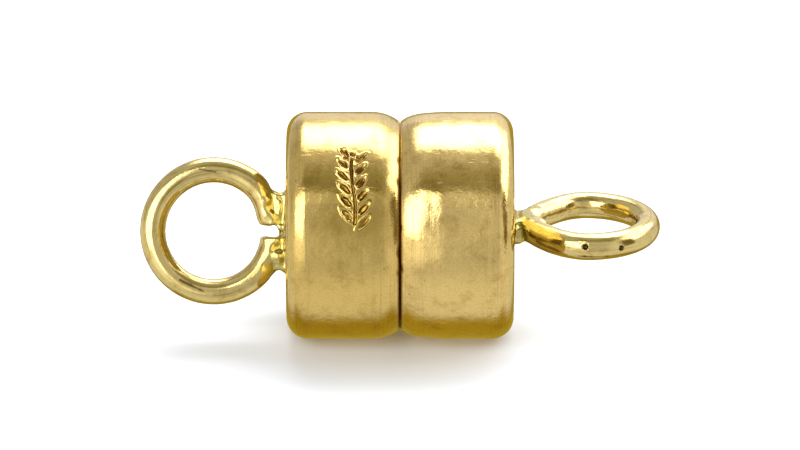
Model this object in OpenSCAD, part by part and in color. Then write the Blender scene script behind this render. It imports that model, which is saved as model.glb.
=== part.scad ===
// Magnetic clasp for a necklace or bracelet: two gold cups, each with a disc magnet inside
// and a wire ring soldered to its closed end. The plug's magnet stands proud of its rim
// and drops into the recess of the socket, so that the halves centre themselves.
// The clasp lies on its side: X runs along its axis, the socket is at -X, Z is up,
// and the origin is on the table under the seam between the halves.

/* [Magnets] */
// Diameter of both disc magnets
magnet_d = 4.5; // [3.5:0.1:6]
// Thickness of the socket's magnet
magnet_t = 2; // [1.5:0.1:3]
// Depth of the socket's magnet below its rim
magnet_recess = 0.4; // [0.2:0.05:0.8]
// Chamfer round the edges of each magnet
magnet_edge = 0.1; // [0.05:0.01:0.15]
// Play between a magnet and the bore of its cup, on the radius
magnet_fit = 0.05; // [0.02:0.01:0.09]
// Glue line between a magnet and the floor of its cup
glue_t = 0.025; // [0.01:0.005:0.05]
// Gap left between the two magnets when the clasp is shut
face_gap = 0.03; // [0.02:0.01:0.1]

/* [Cups] */
// Wall of each cup beside its magnet
wall = 0.45; // [0.4:0.05:0.8]
// Floor of each cup behind its magnet
floor_t = 0.3; // [0.2:0.05:0.6]
// Rounding of the corner at the ring end
end_r = 0.5; // [0.2:0.05:0.6]
// Radius of the roll that the wall follows towards the rim
rim_r = 1.1; // [0.8:0.1:1.6]
// Distance that the roll comes in by at the rim
rim_drop = 0.24; // [0.1:0.02:0.28]
// Chamfer at the mouth of each bore
mouth_lead = 0.06; // [0.02:0.01:0.1]
// Gap between the two rims
seam_gap = 0.05; // [0.02:0.01:0.1]

/* [Rings] */
// Diameter of the wire
wire_d = 0.62; // [0.4:0.02:0.8]
// Diameter of the hole in each ring
eye_d = 2.34; // [1.6:0.02:3.5]
// Depth that a ring is melted into the end face
ring_sink = 0.02; // [0.01:0.01:0.05]
// Turn of the socket's ring about the axis, from lying flat
socket_ring_turn = 70; // [0:5:90]
// Distance of the socket's ring straight below the axis
socket_ring_drop = 0.15; // [0:0.01:0.3]
// Turn of the plug's ring about the axis, from lying flat
plug_ring_turn = 0; // [0:5:90]
// Width of the slot left open between the wire ends of the socket's ring
slot_w = 0.25; // [0.1:0.05:0.5]
// Solder left between the slot and the end face
slot_web = 0.17; // [0.1:0.01:0.25]

/* [Solder] */
// Radius of the hollow fillets between a ring and the end face
solder_r = 0.17; // [0.12:0.01:0.25]
// Distance that the solder stays below the sides of the wire
solder_inset = 0.05; // [0.03:0.01:0.1]
// Length of the solder beyond its fillets, where it feathers out
solder_feather = 0.15; // [0.05:0.01:0.3]

/* [Hidden] */
$fn = 96;

GOLD = "#d3b36a";
NICKEL = "#c4c6c9";

// The cups are sized outwards from the magnets that they hold.
bore_r = magnet_d / 2 + magnet_fit;
cup_r = bore_r + wall;
bore_depth = glue_t + magnet_t + magnet_recess;
cup_l = floor_t + bore_depth;
rim_run = sqrt(pow(rim_r, 2) - pow(rim_r - rim_drop, 2));

// The plug's magnet stops just short of the socket's.
magnet_proud = magnet_recess + seam_gap - face_gap;
plug_magnet_t = magnet_t + magnet_recess + magnet_proud;

// A ring is placed by its centre, out from the end face.
wire_r = wire_d / 2;
ring_r = eye_d / 2 + wire_r;
ring_out = ring_r + wire_r - ring_sink;

// A fillet's circle reaches a little into the end face and into the ring,
// so that it meets both at a clear angle.
BITE = 0.15;
fillet_out = solder_r * (1 - BITE);
fillet_side = sqrt(pow(ring_r + wire_r + fillet_out, 2) - pow(ring_out - fillet_out, 2));

// The solder's flat sides lie just inside the wire, and its fillets widen it to its foot.
solder_half = wire_r - solder_inset;
foot_half = solder_half + solder_r - sqrt(pow(solder_r, 2) - pow(fillet_out, 2));
SOLDER_ROOT = 0.1;
cut_h = 2 * wire_d;

// Stands children that are built up along +Z on the clasp's axis, heading along +X from its middle.
module on_axis(from_middle) {
    translate([from_middle, 0, cup_r]) rotate([0, 90, 0]) children();
}

// Half section of a cup: radius to the right, rim at the bottom, closed end at the top.
module cup_section() {
    difference() {
        union() {
            square([cup_r - rim_r, rim_run]);
            intersection() {
                translate([cup_r - rim_r, rim_run]) circle(r = rim_r);
                square([cup_r, rim_run]);
            }
            translate([0, rim_run]) square([cup_r, cup_l - end_r - rim_run]);
            translate([0, rim_run]) square([cup_r - end_r, cup_l - rim_run]);
            translate([cup_r - end_r, cup_l - end_r]) circle(r = end_r);
        }
        translate([0, -mouth_lead]) square([bore_r, bore_depth + mouth_lead]);
        polygon([
            [0, -mouth_lead],
            [bore_r + 2 * mouth_lead, -mouth_lead],
            [bore_r, mouth_lead],
            [0, mouth_lead]
        ]);
    }
}

module cup() {
    on_axis(seam_gap / 2) rotate_extrude() cup_section();
}

// The ring lies in the XY plane here, with the end face at X = 0 and the cup at -X.
module ring(gap) {
    difference() {
        union() {
            translate([ring_out, 0, 0]) rotate_extrude() translate([ring_r, 0]) circle(r = wire_r);
            solder();
        }
        if (gap > 0) {
            translate([slot_web, -gap / 2, -cut_h / 2]) cube([ring_out - slot_web, gap, cut_h]);
        }
    }
}

// Solder fills the notch between the round of the ring and the flat of the end face.
// It is what three outlines have in common: seen through the ring's hole, seen along the
// end face, and seen straight at the end face.
module solder() {
    intersection() {
        translate([0, 0, -cut_h / 2]) linear_extrude(cut_h) solder_in_plane();
        rotate([90, 0, 0])
            translate([0, 0, -fillet_side]) linear_extrude(2 * fillet_side) solder_across();
        translate([-SOLDER_ROOT, 0, 0]) rotate([0, 90, 0]) linear_extrude(ring_out) solder_footprint();
    }
}

module solder_in_plane() {
    difference() {
        translate([-SOLDER_ROOT, -fillet_side]) square([ring_out, 2 * fillet_side]);
        translate([ring_out, 0]) circle(r = ring_r);
        for (side = [-1, 1]) translate([fillet_out, side * fillet_side]) circle(r = solder_r);
    }
}

module solder_across() {
    difference() {
        union() {
            translate([-SOLDER_ROOT, -solder_half]) square([ring_out, 2 * solder_half]);
            translate([-SOLDER_ROOT, -foot_half]) square([SOLDER_ROOT + fillet_out, 2 * foot_half]);
        }
        for (side = [-1, 1]) translate([fillet_out, side * (solder_half + solder_r)]) circle(r = solder_r);
    }
}

// A lens: widest behind the middle of the ring, and feathered out past the fillets.
module solder_footprint() {
    reach = fillet_side + solder_feather;
    lens_r = (pow(reach, 2) + pow(foot_half, 2)) / (2 * foot_half);
    intersection_for(side = [-1, 1]) translate([side * (lens_r - foot_half), 0]) circle(r = lens_r);
}

// Sets a ring on the closed end of the plug's cup, turned about its own line through the ends.
// A ring below the axis keeps the clasp from rolling, as its weight hangs straight down.
module end_ring(turn, drop, gap) {
    translate([seam_gap / 2 + cup_l, 0, cup_r - drop]) rotate([turn, 0, 0]) ring(gap);
}

module magnet(from_middle, thickness) {
    on_axis(from_middle) rotate_extrude() polygon([
        [0, 0],
        [magnet_d / 2 - magnet_edge, 0],
        [magnet_d / 2, magnet_edge],
        [magnet_d / 2, thickness - magnet_edge],
        [magnet_d / 2 - magnet_edge, thickness],
        [0, thickness]
    ]);
}

module socket_shell() {
    color(GOLD) mirror([1, 0, 0]) union() {
        cup();
        end_ring(socket_ring_turn, socket_ring_drop, slot_w);
    }
}

module socket_magnet() {
    color(NICKEL) mirror([1, 0, 0]) magnet(seam_gap / 2 + magnet_recess, magnet_t);
}

module plug_magnet() {
    color(NICKEL) magnet(seam_gap / 2 - magnet_proud, plug_magnet_t);
}

module plug_shell() {
    color(GOLD) union() {
        cup();
        end_ring(plug_ring_turn, 0, 0);
    }
}

socket_shell();
socket_magnet();
plug_magnet();
plug_shell();
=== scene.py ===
# %% [markdown]
# # A magnetic clasp
# The real clasp is two gold cups that meet rim to rim. Each cup holds a disc magnet and has a wire
# ring soldered to its closed end. The CAD model gives every main form and size. This lesson dresses
# it: it makes the gold smooth and the solder soft, and adds the finish that polishing, soldering and
# wear leave. The model is loaded first, and its box is kept.

# %% The imported model, loaded as a fixed frame
import math

import bmesh
import bpy
from mathutils import Matrix, Vector, noise


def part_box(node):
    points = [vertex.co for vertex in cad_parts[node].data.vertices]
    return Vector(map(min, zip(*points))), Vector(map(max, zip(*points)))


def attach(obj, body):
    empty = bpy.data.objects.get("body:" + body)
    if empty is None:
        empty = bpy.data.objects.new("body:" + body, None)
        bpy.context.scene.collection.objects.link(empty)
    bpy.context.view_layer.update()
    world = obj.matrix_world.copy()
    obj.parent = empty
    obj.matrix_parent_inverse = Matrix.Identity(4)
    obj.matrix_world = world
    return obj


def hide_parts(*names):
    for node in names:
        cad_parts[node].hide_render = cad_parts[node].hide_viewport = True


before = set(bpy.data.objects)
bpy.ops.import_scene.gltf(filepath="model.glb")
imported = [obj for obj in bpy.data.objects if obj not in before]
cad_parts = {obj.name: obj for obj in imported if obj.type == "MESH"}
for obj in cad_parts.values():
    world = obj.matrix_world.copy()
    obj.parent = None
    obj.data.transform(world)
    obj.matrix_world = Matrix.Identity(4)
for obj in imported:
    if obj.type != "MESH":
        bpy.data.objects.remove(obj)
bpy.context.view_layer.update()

# %% [markdown]
# ## Sizes
# A clasp this small is easier to think about in millimetres, so every mesh is made in millimetres
# and scaled to metres when it is finished. The sizes are the ones that the CAD model was made to,
# and the cup's radius and the ring's reach are printed as the frame's own box gives them.

# %% Main sizes, in millimetres
METRES = 0.001
CUP_R = 2.75
CUP_END = 2.75
SEAM_HALF = 0.0015
RIM_R = 1.1
RIM_DROP = 0.24
END_R = 0.5
BORE_R = 2.3
BORE_END = 2.45
WIRE_R = 0.31
RING_R = 1.48
RING_OUT = 1.77
SOCKET_RING_TURN = math.radians(70)
SOCKET_RING_DROP = 0.15

shell_low, shell_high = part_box("plug_shell")
print("cup radius in the frame:", (shell_high.z - shell_low.z) / 2 / METRES)
print("reach of the plug's ring in the frame:", shell_high.x / METRES)
print("reach of the plug's ring here:", CUP_END + RING_OUT + RING_R + WIRE_R)

# %% [markdown]
# ## From a mesh in millimetres to an object
# Each piece is drawn round the clasp's axis, in a bmesh. One helper raises it to the height where
# the axis lies, scales it to metres, and makes it an object whose place is in its mesh.

# %% A helper that turns a finished bmesh into an object
AXIS_UP = Matrix.Translation((0, 0, CUP_R))
TO_METRES = Matrix.Scale(METRES, 4)


def make_object(name, bm, matrix=Matrix.Identity(4)):
    mesh = bpy.data.meshes.new(name)
    bm.to_mesh(mesh)
    bm.free()
    mesh.transform(matrix)
    mesh.shade_smooth()
    made = bpy.data.objects.new(name, mesh)
    bpy.context.scene.collection.objects.link(made)
    print(name, "has", len(mesh.vertices), "vertices")
    return made


# %% [markdown]
# ## A soft step
# Many small changes below start and stop without a crease. One function gives the share, from 0 at
# one value to 1 at another.

# %% The soft step
def ease(low, high, value):
    along = min(max((value - low) / (high - low), 0), 1)
    return along * along * (3 - 2 * along)


print("a soft step, a quarter of the way along:", ease(0, 1, 0.25))

# %% [markdown]
# ## The outline of a cup
# A real cup is turned or drawn from sheet: a round body whose wall rolls in towards its rim, with a
# bore for the magnet. Such a shape is half of its cross-section, spun about the axis. The outline
# could be typed as a list of points, but it is drawn here like a pen stroke, one line or arc after
# the other, so that every number in it is a size of the cup.

# %% A pen for outlines
def draw_line(bm, start, end, steps=1):
    step = (Vector(end) - start.co) / steps
    for _ in range(steps):
        start = bmesh.ops.extrude_vert_indiv(bm, verts=[start])["verts"][0]
        bmesh.ops.translate(bm, verts=[start], vec=step)
    return start


def draw_arc(bm, start, centre, degrees, steps):
    spun = bmesh.ops.spin(
        bm, geom=[start], cent=centre, axis=(0, 0, 1), angle=math.radians(degrees), steps=steps
    )
    return spun["geom_last"][0]


# %% The cross-section of a cup, from the middle of its closed end to the bottom of its bore
RIM_CENTRE_X = SEAM_HALF + math.sqrt(RIM_R ** 2 - (RIM_R - RIM_DROP) ** 2)
RIM_SWEEP = math.degrees(math.acos((RIM_R - RIM_DROP) / RIM_R))
MOUTH = 0.06
# How many steps each stretch of the outline has. The plug's wall has more, because it is reshaped.
END_STEPS = 12
CORNER_STEPS = 14
SOCKET_WALL_STEPS = 14
PLUG_WALL_STEPS = 28
RIM_STEPS = 16
BORE_STEPS = 4
FLOOR_STEPS = 6


def cup_outline(bm, wall_steps):
    at = bm.verts.new((CUP_END, 0, 0))
    at = draw_line(bm, at, (CUP_END, CUP_R - END_R, 0), END_STEPS)
    at = draw_arc(bm, at, (CUP_END - END_R, CUP_R - END_R, 0), 90, CORNER_STEPS)
    at = draw_line(bm, at, (RIM_CENTRE_X, CUP_R, 0), wall_steps)
    at = draw_arc(bm, at, (RIM_CENTRE_X, CUP_R - RIM_R, 0), RIM_SWEEP, RIM_STEPS)
    corners = [at]
    at = draw_line(bm, at, (SEAM_HALF, BORE_R + MOUTH, 0))
    corners.append(at)
    at = draw_line(bm, at, (SEAM_HALF + MOUTH, BORE_R, 0))
    corners.append(at)
    at = draw_line(bm, at, (BORE_END, BORE_R, 0), BORE_STEPS)
    corners.append(at)
    draw_line(bm, at, (BORE_END, 0, 0), FLOOR_STEPS)
    return corners


print("the rim rolls in over", round(RIM_CENTRE_X, 3), "mm and", round(RIM_SWEEP, 1), "degrees")

# %% [markdown]
# ## Spinning an outline
# The outline is spun once round the axis, and the vertices that meet at both poles are merged. The
# cup's corners at the mouth are rounded a little before that, because a polished edge is never sharp.

# %% The cup as a closed mesh
TURNS = 320
MERGE_WITHIN = 0.0001
EDGE_R = 0.04
EDGE_SEGMENTS = 3


def spin_closed(bm):
    bmesh.ops.spin(
        bm, geom=bm.verts[:] + bm.edges[:], cent=(0, 0, 0), axis=(1, 0, 0),
        angle=math.tau, steps=TURNS, use_merge=True,
    )
    bmesh.ops.remove_doubles(bm, verts=bm.verts, dist=MERGE_WITHIN)
    bmesh.ops.recalc_face_normals(bm, faces=bm.faces)
    print("spun, volume in cubic millimetres:", round(bm.calc_volume(), 2))


def cup_mesh(wall_steps):
    bm = bmesh.new()
    corners = cup_outline(bm, wall_steps)
    bmesh.ops.bevel(
        bm, geom=corners, offset=EDGE_R, offset_type="OFFSET", segments=EDGE_SEGMENTS, profile=0.5,
        affect="VERTICES", material=-1,
    )
    spin_closed(bm)
    return bm


# %% [markdown]
# ## Worn rims
# The rims knock together each time that the magnets snap shut, and the polishing wheel dragged at
# them before. So the edge is not one perfect circle. A little noise moves its vertices in towards
# the axis, more in a few places, which leaves nicks and a seam of uneven width.

# %% A rim with nicks
RIM_ZONE = 0.1
RIM_WEAR = 0.035
NICK_LENGTH = 0.3
NICK_STARTS = 0.3
NICK_FULL = 0.7
FINE_LENGTH = NICK_LENGTH / 3
FINE_SHARE = 0.25


def press_in(vert, depth):
    radius = math.hypot(vert.co.y, vert.co.z)
    vert.co.y -= vert.co.y / radius * depth
    vert.co.z -= vert.co.z / radius * depth


def wear_rim(bm, seed):
    for vert in bm.verts:
        if vert.co.x < RIM_ZONE and math.hypot(vert.co.y, vert.co.z) > BORE_R:
            share = 1 - vert.co.x / RIM_ZONE
            place = Vector((seed, vert.co.y, vert.co.z))
            nick = ease(NICK_STARTS, NICK_FULL, noise.noise(place / NICK_LENGTH))
            fine = FINE_SHARE * (1 + noise.noise(place / FINE_LENGTH)) / 2
            press_in(vert, RIM_WEAR * share * (fine + nick))


# %% [markdown]
# ## A wall that falls before its rim
# On a polishing wheel the hand presses more near an edge. The plug's wall falls by a fortieth of a
# millimetre before its rim rolls in. That is hardly seen in the outline, but a mirror shows it: the
# light that the rim catches reaches a little way onto the wall.

# %% A slight fall of the wall near the rim
FALL = 0.026
FALL_FROM = 1.08
FALL_TO = 0.58


def lower_wall(bm):
    for vert in bm.verts:
        outside = math.hypot(vert.co.y, vert.co.z) > CUP_R - RIM_DROP - RIM_WEAR
        if outside and vert.co.x < CUP_END - END_R:
            share = ease(FALL_FROM, FALL_TO, vert.co.x) * ease(0, FALL_TO, vert.co.x)
            press_in(vert, FALL * share)


# %% [markdown]
# ## A punched ornament
# The socket's cup carries a small ornament, struck with a hand punch: a sprig with pairs of leaves and
# a few berries. The steel punch pushes metal down and raises a low lip round each stroke. A bump in
# the material would look flat at the edges, so the cup's wall is divided finely where the ornament
# lies, and each new vertex is set to its height. The height is read from the distance to the nearest
# leaf, stem or berry, which is measured in half widths of that stroke, so that 1 is its edge.

# %% The distance to the nearest stroke of the ornament
MARK_LONG = 0.98
STEM_HALF = 0.042
STEM_SWAY = 0.05
STEM_WAVE = 2.8
STEM_SHORT = 0.15
LEAF_PAIRS = 6
LEAF_STEP = 0.33
LEAF_LONG = 0.2
LEAF_WIDE = 0.078
LEAF_LEAN = math.radians(48)
FIRST_LEAF = -0.86
LEAF_STAGGER = 0.09
LEAF_OUT = 0.2
LEAF_UP = 0.14
BERRY_R = 0.075
BERRIES = (-0.16, 0, 0.16)
BERRY_BELOW = 0.02
BERRY_SPREAD = 0.6


def mark_distance(across, along):
    across -= STEM_SWAY * math.sin(STEM_WAVE * along)
    past_end = max(abs(along) - MARK_LONG + STEM_SHORT, 0)
    nearest = math.hypot(across, past_end) / STEM_HALF
    for pair in range(LEAF_PAIRS):
        for side in (-1, 1):
            root = FIRST_LEAF + LEAF_STEP * pair + LEAF_STAGGER * side
            from_leaf = Vector((side * across - LEAF_OUT, along - root - LEAF_UP))
            on_axis = from_leaf.x * math.cos(LEAF_LEAN) + from_leaf.y * math.sin(LEAF_LEAN)
            off_axis = from_leaf.y * math.cos(LEAF_LEAN) - from_leaf.x * math.sin(LEAF_LEAN)
            nearest = min(nearest, math.hypot(on_axis / LEAF_LONG, off_axis / LEAF_WIDE))
    for berry in BERRIES:
        height = MARK_LONG - BERRY_BELOW - abs(berry) * BERRY_SPREAD
        nearest = min(nearest, math.hypot(across - berry, along - height) / BERRY_R)
    return nearest


print("half widths from the lower end of the ornament to its edge:", round(mark_distance(0, -MARK_LONG), 2))

# %% The height of the ornament at a point of the wall
MARK_WIDE = 0.42
STRUCK = 0.062
STROKE_FLOOR = 0.45
STROKE_EDGE = 1.05
LIP = 0.018
LIP_AT = 1.2
LIP_HALF = 0.3
DENT = 0.007
DENT_SIZE = 0.13
DENT_WIDE = MARK_WIDE + 0.08
DENT_LONG = MARK_LONG + 0.15
DENT_FADES = 0.6
WOBBLE = 0.018
WOBBLE_SIZE = 0.12
# Without a seed, Blender shifts its vector noise by another amount each time that it starts.
WOBBLE_SEED = 1
BLOW = 0.8
BLOW_CHANGE = 0.5
BLOW_SIZE = 0.3
# The third number of a noise's place, which keeps one noise apart from another.
BLOW_PLACE = 3
DENT_PLACE = 7

noise.seed_set(WOBBLE_SEED)


def mark_height(across, along):
    wobble = noise.noise_vector(Vector((across, along, 0)) / WOBBLE_SIZE) * WOBBLE
    nearest = mark_distance(across + wobble.x, along + wobble.y)
    blow = BLOW + BLOW_CHANGE * noise.noise(Vector((across, along, BLOW_PLACE)) / BLOW_SIZE)
    lip = LIP * ease(LIP_HALF, 0, abs(nearest - LIP_AT))
    struck = STRUCK * (1 - ease(STROKE_FLOOR, STROKE_EDGE, nearest))
    dent = ease(1, 0, abs(across) / DENT_WIDE) * ease(1, DENT_FADES, abs(along) / DENT_LONG)
    dent *= DENT * (1 + noise.noise(Vector((across, along, DENT_PLACE)) / DENT_SIZE))
    return blow * (lip - struck) - dent


print("depth of the stem at its middle:", round(-mark_height(0, 0), 3))

# %% Dividing the wall and striking the ornament
MARK_X = 1.12
MARK_TURN = math.radians(38)
MARK_BESIDE = 0.1
MARK_PAST = 0.2
WALL_WITHIN = 0.001
# How many cuts each edge gets: first the edges that run lengthwise on the cup, then those round it.
MARK_CUTS = ((8, True), (3, False))


def mark_place(co):
    turn = math.atan2(co.z, -co.y)
    return co.x - MARK_X, (turn - MARK_TURN) * CUP_R


def in_mark(co):
    across, along = mark_place(co)
    on_wall = math.hypot(co.y, co.z) > CUP_R - WALL_WITHIN
    return on_wall and abs(across) < MARK_WIDE + MARK_BESIDE and abs(along) < MARK_LONG + MARK_PAST


def strike(bm):
    for cuts, lengthwise in MARK_CUTS:
        edges = []
        for edge in bm.edges:
            first, last = (vert.co for vert in edge.verts)
            runs_lengthwise = abs(first.x - last.x) > WALL_WITHIN
            if in_mark(first) and in_mark(last) and runs_lengthwise == lengthwise:
                edges.append(edge)
        bmesh.ops.subdivide_edges(bm, edges=edges, cuts=cuts, use_grid_fill=True)
    for vert in bm.verts:
        if in_mark(vert.co):
            radius = math.hypot(vert.co.y, vert.co.z)
            wanted = CUP_R + mark_height(*mark_place(vert.co))
            vert.co.y *= wanted / radius
            vert.co.z *= wanted / radius
    print("vertices after the ornament:", len(bm.verts))


# %% [markdown]
# ## Wire
# The rings are bent from round wire. A wire is a circle spun round the middle of its ring. Each ring
# is drawn lying flat, with the closed end of its cup as the plane X = 0 and the ring on the positive
# side, and is turned and mirrored into place at the end. Angles start where the ring meets the cup.

# %% A bent length of wire, closed at both ends
WIRE_SIDES = 64
RING_CENTRE = Vector((RING_OUT, 0, 0))


def close_ends(bm):
    bmesh.ops.holes_fill(bm, edges=[edge for edge in bm.edges if edge.is_boundary])


def add_wire(bm, first, last, steps):
    circle = bmesh.ops.create_circle(bm, cap_ends=False, segments=WIRE_SIDES, radius=WIRE_R)["verts"]
    loop = list({edge for vert in circle for edge in vert.link_edges})
    stand_up = Matrix.Rotation(math.radians(90), 3, "X")
    bmesh.ops.rotate(bm, verts=circle, cent=(0, 0, 0), matrix=stand_up)
    bmesh.ops.translate(bm, verts=circle, vec=(RING_OUT - RING_R, 0, 0))
    to_first = Matrix.Rotation(-math.radians(first), 3, "Z")
    bmesh.ops.rotate(bm, verts=circle, cent=RING_CENTRE, matrix=to_first)
    bmesh.ops.spin(
        bm, geom=circle + loop, cent=RING_CENTRE, axis=(0, 0, -1),
        angle=math.radians(last - first), steps=steps,
    )
    close_ends(bm)
    bmesh.ops.recalc_face_normals(bm, faces=bm.faces)


def cut_straight(bm, height, keep_above):
    out = (0, -1 if keep_above else 1, 0)
    bmesh.ops.bisect_plane(
        bm, geom=bm.verts[:] + bm.edges[:] + bm.faces[:], plane_co=(0, height, 0), plane_no=out,
        clear_outer=True,
    )
    close_ends(bm)


# %% [markdown]
# ## One skin over wire and solder
# Molten solder wets the wire and the end face, and hardens in hollow curves with no edge between
# them. A bevel on the line where two meshes cross would give one even, mechanical curve. So the wire
# ends, a web and a few beads of solder and a thin pad on the end face are put together as loose
# blocks first, a voxel remesh wraps them in one skin, and smoothing melts their joins together.

# %% Helpers that add blocks of solder, wrap them and melt them
VOXEL = 0.02
BEAD_SUBDIVISIONS = 4
PAD_THICK = 0.16
PAD_SIDES = 96
MELT_STEP = 0.5


def add_block(bm, low, high):
    size = Vector(high) - Vector(low)
    middle = (Vector(high) + Vector(low)) / 2
    place = Matrix.Translation(middle) @ Matrix.Diagonal((*size, 1))
    bmesh.ops.create_cube(bm, size=1, matrix=place)


def add_bead(bm, middle, radii):
    place = Matrix.Translation(middle) @ Matrix.Diagonal((*radii, 1))
    bmesh.ops.create_icosphere(bm, subdivisions=BEAD_SUBDIVISIONS, radius=1, matrix=place)


def add_pad(bm, half_wide, half_high):
    face_on = Matrix.Rotation(math.radians(90), 4, "Y") @ Matrix.Diagonal((half_high, half_wide, 1, 1))
    bmesh.ops.create_cone(
        bm, cap_ends=True, segments=PAD_SIDES, radius1=1, radius2=1, depth=PAD_THICK,
        matrix=Matrix.Translation((-PAD_THICK / 2, 0, 0)) @ face_on,
    )


def wrap(bm):
    blocks = make_object("blocks", bm)
    skin = blocks.modifiers.new("skin", "REMESH")
    skin.mode = "VOXEL"
    skin.voxel_size = VOXEL
    wrapped = bmesh.new()
    wrapped.from_object(blocks, bpy.context.evaluated_depsgraph_get())
    bpy.data.objects.remove(blocks)
    return wrapped


def melt(bm, rounds, chosen):
    verts = [vert for vert in bm.verts if chosen(vert.co)]
    for _ in range(rounds):
        bmesh.ops.smooth_vert(
            bm, verts=verts, factor=MELT_STEP, use_axis_x=True, use_axis_y=True, use_axis_z=True
        )


# %% [markdown]
# ## How each ring was bent
# A ring bent by hand is round only away from its ends. On the plug the two strands close up into a
# narrow stem, so the loop is a little pear-shaped. On the socket the upper end was pulled away from
# the cup and hammered thinner where it was soldered. All are small shifts of the wire's sections,
# given by the angle round the ring, and they can be undone again to find where a point belongs.

# %% Bending the plug's ring: how far, and from which angle to which
PINCH = 0.31
PINCH_STARTS = (0, 26)
PINCH_ENDS = (32, 92)
SAG = 0.02
SQUASH = 0.016
SAG_STARTS = (20, 60)


def ring_angle(place):
    return math.degrees(math.atan2(place.y, RING_OUT - place.x))


def plug_bend(angle):
    size = PINCH * ease(*PINCH_STARTS, abs(angle)) * (1 - ease(*PINCH_ENDS, abs(angle)))
    return Vector((0, -math.copysign(size, angle), -SAG * ease(*SAG_STARTS, abs(angle))))


def plug_thin(angle, outward):
    return -SQUASH * (1 - outward ** 2) * ease(*SAG_STARTS, abs(angle))


# %% Bending the socket's ring: its lower end was pulled a third as far as its upper end
PULL = 0.085
LOWER_PULL = PULL / 3
PULL_ENDS = (12, 50)
THINNED = 0.055
THINNING_STARTS = (2, 16)
THINNING_ENDS = (24, 50)


def socket_bend(angle):
    pull = PULL if angle > 0 else LOWER_PULL
    return Vector((pull * (1 - ease(*PULL_ENDS, abs(angle))), 0, 0))


def socket_thin(angle, outward):
    where = ease(*THINNING_STARTS, angle) * (1 - ease(*THINNING_ENDS, angle))
    return THINNED * where * max(outward, 0)


# %% Applying a bend, and finding the way back
UNBEND_ROUNDS = 8


def apply_bend(bm, bend, thin):
    for vert in bm.verts:
        angle = ring_angle(vert.co)
        flat = Vector((vert.co.x - RING_OUT, vert.co.y, 0))
        spoke = vert.co - RING_CENTRE - flat.normalized() * RING_R
        outward = spoke.dot(flat.normalized()) / WIRE_R
        vert.co += bend(angle) - spoke * thin(angle, outward) / WIRE_R


def unbend(place, bend):
    straight = place.copy()
    for _ in range(UNBEND_ROUNDS):
        straight = place - bend(ring_angle(straight))
    return straight


print("the plug's ring 45 degrees from its neck moves by", plug_bend(45))
print("the socket's ring 5 degrees above its slot moves by", socket_bend(5))

# %% [markdown]
# ## The neck of a ring
# Away from the solder the wire has to be smooth again, so each vertex there is moved onto the exact
# wire. The far ends of the neck taper under the clean ring that is joined to it later, and the pad
# dips just below the end face, so that every line where meshes cross is a faint one. Hand-fed solder
# is never even, so a little noise makes its skin lumpy before it is smoothed.

# %% Moving the wire's skin onto the exact wire
NECK_SWEEP = 70
NECK_STEPS = 70
TAPER_FROM = 60
TAPER = 0.013
OVER_RING = 0.0012
# How far from the solder the wire starts to be exact, and from where it is wholly so.
TRUE_STARTS = (0.1, 0.3)
# Points nearer than this to the middle of the wire are on a cut end, and stay.
SKIN_STARTS = (WIRE_R - 0.17, WIRE_R - 0.13)
OFF_FACE = 0.12


def true_wire(bm, bend, thin, loose):
    for vert in bm.verts:
        straight = unbend(vert.co, bend)
        flat = Vector((straight.x - RING_OUT, straight.y, 0)).normalized()
        on_line = RING_CENTRE + flat * RING_R
        spoke = straight - on_line
        angle = ring_angle(straight)
        wanted = WIRE_R + OVER_RING - TAPER * ease(TAPER_FROM, NECK_SWEEP, abs(angle))
        wanted -= thin(angle, spoke.normalized().dot(flat))
        share = ease(*TRUE_STARTS, loose(vert.co))
        share *= ease(*SKIN_STARTS, spoke.length)
        share *= ease(NECK_SWEEP + 1, NECK_SWEEP, abs(angle))
        if vert.co.x > OFF_FACE:
            vert.co = vert.co.lerp(on_line + spoke.normalized() * wanted + bend(angle), share)


# %% Sinking the pad's rim and roughening the solder
PAD_SINK = 0.012
PAD_ZONE = 0.05
SINK_STARTS = (1.0, 1.25)
LUMP_SIZE = 0.22
LUMPS_END = (0.05, 0.25)
LUMPS_OFF_FACE = (-0.01, 0.06)


def sink_pad(bm, half_wide, half_high):
    for vert in bm.verts:
        if vert.co.x < PAD_ZONE:
            away = math.hypot(vert.co.y / half_wide, vert.co.z / half_high)
            vert.co.x -= PAD_SINK * ease(*SINK_STARTS, away)


def add_lumps(bm, depth, loose):
    bm.normal_update()
    for vert in bm.verts:
        share = (1 - ease(*LUMPS_END, loose(vert.co))) * ease(*LUMPS_OFF_FACE, vert.co.x)
        vert.co += vert.normal * depth * share * noise.noise(vert.co / LUMP_SIZE)


# %% [markdown]
# ## The plug's neck
# The two strands of the plug's ring run together into a short stem, filled with solder. The blocks and
# beads below are guesses at how the solder ran, set until the melted skin looked right. Away
# from a box round the solder the surface counts as wire, and the distance to that box says how much.

# %% The solder of the plug's neck, in millimetres
# How far the solder reaches from the end face, and half of how wide it is.
PLUG_SOLDER = ((0.86, 0.4),)
# The low and the high corner of each block, and the middle and the radii of each bead.
PLUG_BLOCKS = (((-0.1, -0.42, -0.25), (0.36, 0.4, 0.25)),)
PLUG_BEADS = (
    ((0, -0.03, -0.03), (0.1, 0.66, 0.44)),
    ((0.12, -0.44, -0.1), (0.17, 0.2, 0.24)),
    ((0.55, 0.0, 0.0), (0.3, 0.22, 0.2)),
)
PLUG_PAD = (1.25, 0.9)
PLUG_PAD_SHOWS = (0.85, 0.62)
PLUG_LUMPS = 0.026
# How far from the solder each melting reaches, and how many rounds it has.
MELT_NEAR = 0.12
MELT_FAR = 0.3
PLUG_FIRST_MELT = 16
PLUG_LAST_MELT = 20


# %% Two strands that run together into a short stem
def distance_from(solder, place):
    return min(
        math.hypot(max(place.x - reach, 0), max(abs(place.y) - half, 0)) for reach, half in solder
    )


def plug_loose(place):
    return distance_from(PLUG_SOLDER, place)


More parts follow.
